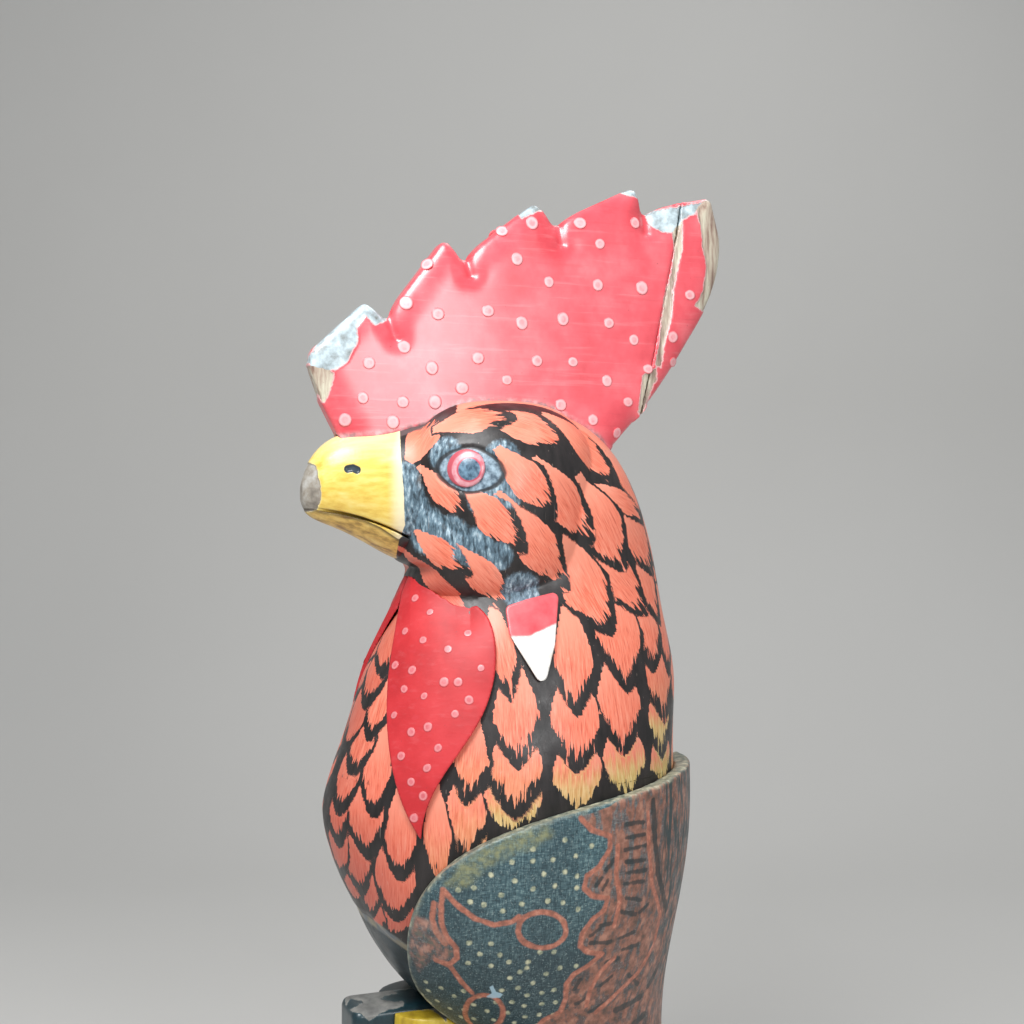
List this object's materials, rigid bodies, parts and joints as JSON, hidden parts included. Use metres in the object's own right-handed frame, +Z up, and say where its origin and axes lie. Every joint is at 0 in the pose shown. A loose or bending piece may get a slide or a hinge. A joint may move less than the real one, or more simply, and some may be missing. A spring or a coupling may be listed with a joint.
{
  "type": "carved wooden rooster ornament",
  "caption": "Upright carved wooden rooster with a tall toothed comb, wattles and wing panels, standing on a base plate as a shelf ornament.",
  "frame": {"origin": "middle of the base plate's underside", "axes": "+Z up, the bird faces -Y and its left side is +X"},
  "size_m": [0.1162, 0.1758, 0.4029],
  "materials": {
    "feather_paint": "orange and black paint, satin",
    "red_paint": "red paint with white dots, satin",
    "lobe_paint": "white and red paint, satin",
    "beak_paint": "yellow paint, satin",
    "eye_paint": "painted, gloss",
    "wing_paint": "dark blue wax-resist pattern, matte",
    "base_paint": "dark blue-green paint, satin",
    "bare_wood": "bare",
    "screw_steel": "zinc plated"
  },
  "bodies": {
    "root": {"head_and_neck": "feather_paint", "trunk": "feather_paint", "comb_front": "red_paint", "comb_rear": "red_paint", "left_wattle": "red_paint", "right_wattle": "red_paint", "left_earlobe": "lobe_paint", "right_earlobe": "lobe_paint", "beak": "beak_paint", "left_leg": "beak_paint", "right_leg": "beak_paint", "left_eye": "eye_paint", "right_eye": "eye_paint", "left_wing": "wing_paint", "right_wing": "wing_paint", "tail_fan": "wing_paint", "left_sickle": "wing_paint", "right_sickle": "wing_paint", "base_plate": "base_paint", "leg_block": "base_paint", "neck_dowel": "bare_wood", "wing_dowels": "bare_wood", "tail_dowel": "bare_wood", "block_dowels": "bare_wood", "comb_dowels": "bare_wood", "base_screws": "screw_steel"}
  },
  "joints": []
}
